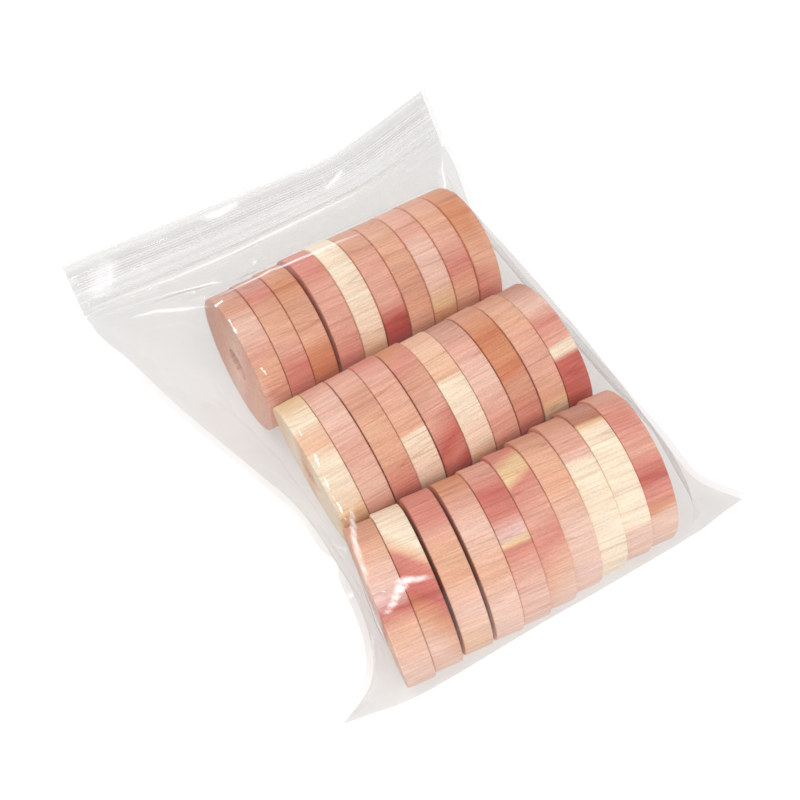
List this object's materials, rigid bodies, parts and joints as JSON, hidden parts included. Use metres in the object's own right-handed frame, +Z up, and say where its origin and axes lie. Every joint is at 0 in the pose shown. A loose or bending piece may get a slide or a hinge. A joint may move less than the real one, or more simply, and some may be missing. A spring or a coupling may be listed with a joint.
{
  "type": "bag of cedar hanger rings",
  "caption": "Clear press-to-close film bag of plain turned cedar hanger rings, standing on edge in rows and lying on its back.",
  "frame": {"origin": "on the face the bag rests on, under the middle of its bounding box", "axes": "+X along the rows of rings, +Y towards the mouth, +Z up through the bag"},
  "size_m": [0.158, 0.216, 0.0465],
  "materials": {
    "cedar": "bare, finely turned, unfinished",
    "clear_film": "clear polyethylene film, glossy",
    "weld": "heat-sealed film edge",
    "zip": "extruded polyethylene, translucent white"
  },
  "bodies": {
    "bag": {"back_panel": "clear_film", "front_panel": "clear_film", "left_side_weld": "weld", "right_side_weld": "weld", "zip_channel": "zip"},
    "mouth": {"mouth_flap": "clear_film", "zip_rib": "zip", "grip_ribs": "zip"},
    "back_row_01": {"back_row_ring_01": "cedar"},
    "back_row_02": {"back_row_ring_02": "cedar"},
    "back_row_03": {"back_row_ring_03": "cedar"},
    "back_row_04": {"back_row_ring_04": "cedar"},
    "back_row_05": {"back_row_ring_05": "cedar"},
    "back_row_06": {"back_row_ring_06": "cedar"},
    "back_row_07": {"back_row_ring_07": "cedar"},
    "back_row_08": {"back_row_ring_08": "cedar"},
    "back_row_09": {"back_row_ring_09": "cedar"},
    "back_row_10": {"back_row_ring_10": "cedar"},
    "middle_row_01": {"middle_row_ring_01": "cedar"},
    "middle_row_02": {"middle_row_ring_02": "cedar"},
    "middle_row_03": {"middle_row_ring_03": "cedar"},
    "middle_row_04": {"middle_row_ring_04": "cedar"},
    "middle_row_05": {"middle_row_ring_05": "cedar"},
    "middle_row_06": {"middle_row_ring_06": "cedar"},
    "middle_row_07": {"middle_row_ring_07": "cedar"},
    "middle_row_08": {"middle_row_ring_08": "cedar"},
    "middle_row_09": {"middle_row_ring_09": "cedar"},
    "middle_row_10": {"middle_row_ring_10": "cedar"},
    "front_row_01": {"front_row_ring_01": "cedar"},
    "front_row_02": {"front_row_ring_02": "cedar"},
    "front_row_03": {"front_row_ring_03": "cedar"},
    "front_row_04": {"front_row_ring_04": "cedar"},
    "front_row_05": {"front_row_ring_05": "cedar"},
    "front_row_06": {"front_row_ring_06": "cedar"},
    "front_row_07": {"front_row_ring_07": "cedar"},
    "front_row_08": {"front_row_ring_08": "cedar"},
    "front_row_09": {"front_row_ring_09": "cedar"},
    "front_row_10": {"front_row_ring_10": "cedar"}
  },
  "joints": [
    {"name": "mouth_hinge", "type": "hinge", "parent": "bag", "child": "mouth", "pos_m": [0, 0.02106, 0.0464], "axis": [1, 0, 0], "range_deg": [0, 20]},
    {"name": "back_row_ring_01_spin", "type": "hinge", "parent": "bag", "child": "back_row_01", "pos_m": [-0.03846, 0.01179, 0.02325], "axis": [0.9959, 0.04, -0.081], "continuous": true},
    {"name": "back_row_ring_02_spin", "type": "hinge", "parent": "bag", "child": "back_row_02", "pos_m": [-0.03029, 0.0121, 0.02325], "axis": [0.9959, 0.04, -0.081], "continuous": true},
    {"name": "back_row_ring_03_spin", "type": "hinge", "parent": "bag", "child": "back_row_03", "pos_m": [-0.02212, 0.01242, 0.02325], "axis": [0.9959, 0.04, -0.081], "continuous": true},
    {"name": "back_row_ring_04_spin", "type": "hinge", "parent": "bag", "child": "back_row_04", "pos_m": [-0.01284, 0.01323, 0.02325], "axis": [0.9959, 0.04, -0.081], "continuous": true},
    {"name": "back_row_ring_05_spin", "type": "hinge", "parent": "bag", "child": "back_row_05", "pos_m": [-0.00466, 0.01332, 0.02325], "axis": [0.9959, 0.04, -0.081], "continuous": true},
    {"name": "back_row_ring_06_spin", "type": "hinge", "parent": "bag", "child": "back_row_06", "pos_m": [0.00354, 0.01282, 0.02325], "axis": [0.9959, 0.04, -0.081], "continuous": true},
    {"name": "back_row_ring_07_spin", "type": "hinge", "parent": "bag", "child": "back_row_07", "pos_m": [0.01174, 0.0126, 0.02325], "axis": [0.9959, 0.04, -0.081], "continuous": true},
    {"name": "back_row_ring_08_spin", "type": "hinge", "parent": "bag", "child": "back_row_08", "pos_m": [0.01992, 0.01251, 0.02325], "axis": [0.9959, 0.04, -0.081], "continuous": true},
    {"name": "back_row_ring_09_spin", "type": "hinge", "parent": "bag", "child": "back_row_09", "pos_m": [0.0281, 0.0126, 0.02325], "axis": [0.9959, 0.04, -0.081], "continuous": true},
    {"name": "back_row_ring_10_spin", "type": "hinge", "parent": "bag", "child": "back_row_10", "pos_m": [0.0363, 0.01233, 0.02325], "axis": [0.9959, 0.04, -0.081], "continuous": true},
    {"name": "middle_row_ring_01_spin", "type": "hinge", "parent": "bag", "child": "middle_row_01", "pos_m": [-0.03655, -0.03591, 0.02312], "axis": [0.9994, 0.0113, 0.0332], "continuous": true},
    {"name": "middle_row_ring_02_spin", "type": "hinge", "parent": "bag", "child": "middle_row_02", "pos_m": [-0.02839, -0.03577, 0.02312], "axis": [0.9994, 0.0113, 0.0332], "continuous": true},
    {"name": "middle_row_ring_03_spin", "type": "hinge", "parent": "bag", "child": "middle_row_03", "pos_m": [-0.02, -0.03568, 0.02312], "axis": [0.9994, 0.0113, 0.0332], "continuous": true},
    {"name": "middle_row_ring_04_spin", "type": "hinge", "parent": "bag", "child": "middle_row_04", "pos_m": [-0.01185, -0.03519, 0.02312], "axis": [0.9994, 0.0113, 0.0332], "continuous": true},
    {"name": "middle_row_ring_05_spin", "type": "hinge", "parent": "bag", "child": "middle_row_05", "pos_m": [-0.00345, -0.03519, 0.02312], "axis": [0.9994, 0.0113, 0.0332], "continuous": true},
    {"name": "middle_row_ring_06_spin", "type": "hinge", "parent": "bag", "child": "middle_row_06", "pos_m": [0.00471, -0.03568, 0.02312], "axis": [0.9994, 0.0113, 0.0332], "continuous": true},
    {"name": "middle_row_ring_07_spin", "type": "hinge", "parent": "bag", "child": "middle_row_07", "pos_m": [0.01286, -0.03577, 0.02312], "axis": [0.9994, 0.0113, 0.0332], "continuous": true},
    {"name": "middle_row_ring_08_spin", "type": "hinge", "parent": "bag", "child": "middle_row_08", "pos_m": [0.02125, -0.03528, 0.02312], "axis": [0.9994, 0.0113, 0.0332], "continuous": true},
    {"name": "middle_row_ring_09_spin", "type": "hinge", "parent": "bag", "child": "middle_row_09", "pos_m": [0.02965, -0.0355, 0.02312], "axis": [0.9994, 0.0113, 0.0332], "continuous": true},
    {"name": "middle_row_ring_10_spin", "type": "hinge", "parent": "bag", "child": "middle_row_10", "pos_m": [0.03781, -0.03577, 0.02312], "axis": [0.9994, 0.0113, 0.0332], "continuous": true},
    {"name": "front_row_ring_01_spin", "type": "hinge", "parent": "bag", "child": "front_row_01", "pos_m": [-0.0399, -0.0816, 0.02307], "axis": [0.9925, -0.1212, 0.0172], "continuous": true},
    {"name": "front_row_ring_02_spin", "type": "hinge", "parent": "bag", "child": "front_row_02", "pos_m": [-0.03169, -0.0816, 0.02307], "axis": [0.9925, -0.1212, 0.0172], "continuous": true},
    {"name": "front_row_ring_03_spin", "type": "hinge", "parent": "bag", "child": "front_row_03", "pos_m": [-0.02252, -0.08169, 0.02307], "axis": [0.9925, -0.1212, 0.0172], "continuous": true},
    {"name": "front_row_ring_04_spin", "type": "hinge", "parent": "bag", "child": "front_row_04", "pos_m": [-0.01343, -0.08241, 0.02307], "axis": [0.9925, -0.1212, 0.0172], "continuous": true},
    {"name": "front_row_ring_05_spin", "type": "hinge", "parent": "bag", "child": "front_row_05", "pos_m": [-0.00525, -0.08268, 0.02307], "axis": [0.9925, -0.1212, 0.0172], "continuous": true},
    {"name": "front_row_ring_06_spin", "type": "hinge", "parent": "bag", "child": "front_row_06", "pos_m": [0.00298, -0.0825, 0.02307], "axis": [0.9925, -0.1212, 0.0172], "continuous": true},
    {"name": "front_row_ring_07_spin", "type": "hinge", "parent": "bag", "child": "front_row_07", "pos_m": [0.01124, -0.0821, 0.02307], "axis": [0.9925, -0.1212, 0.0172], "continuous": true},
    {"name": "front_row_ring_08_spin", "type": "hinge", "parent": "bag", "child": "front_row_08", "pos_m": [0.01951, -0.08169, 0.02307], "axis": [0.9925, -0.1212, 0.0172], "continuous": true},
    {"name": "front_row_ring_09_spin", "type": "hinge", "parent": "bag", "child": "front_row_09", "pos_m": [0.02774, -0.08151, 0.02307], "axis": [0.9925, -0.1212, 0.0172], "continuous": true},
    {"name": "front_row_ring_10_spin", "type": "hinge", "parent": "bag", "child": "front_row_10", "pos_m": [0.03594, -0.0816, 0.02307], "axis": [0.9925, -0.1212, 0.0172], "continuous": true}
  ]
}
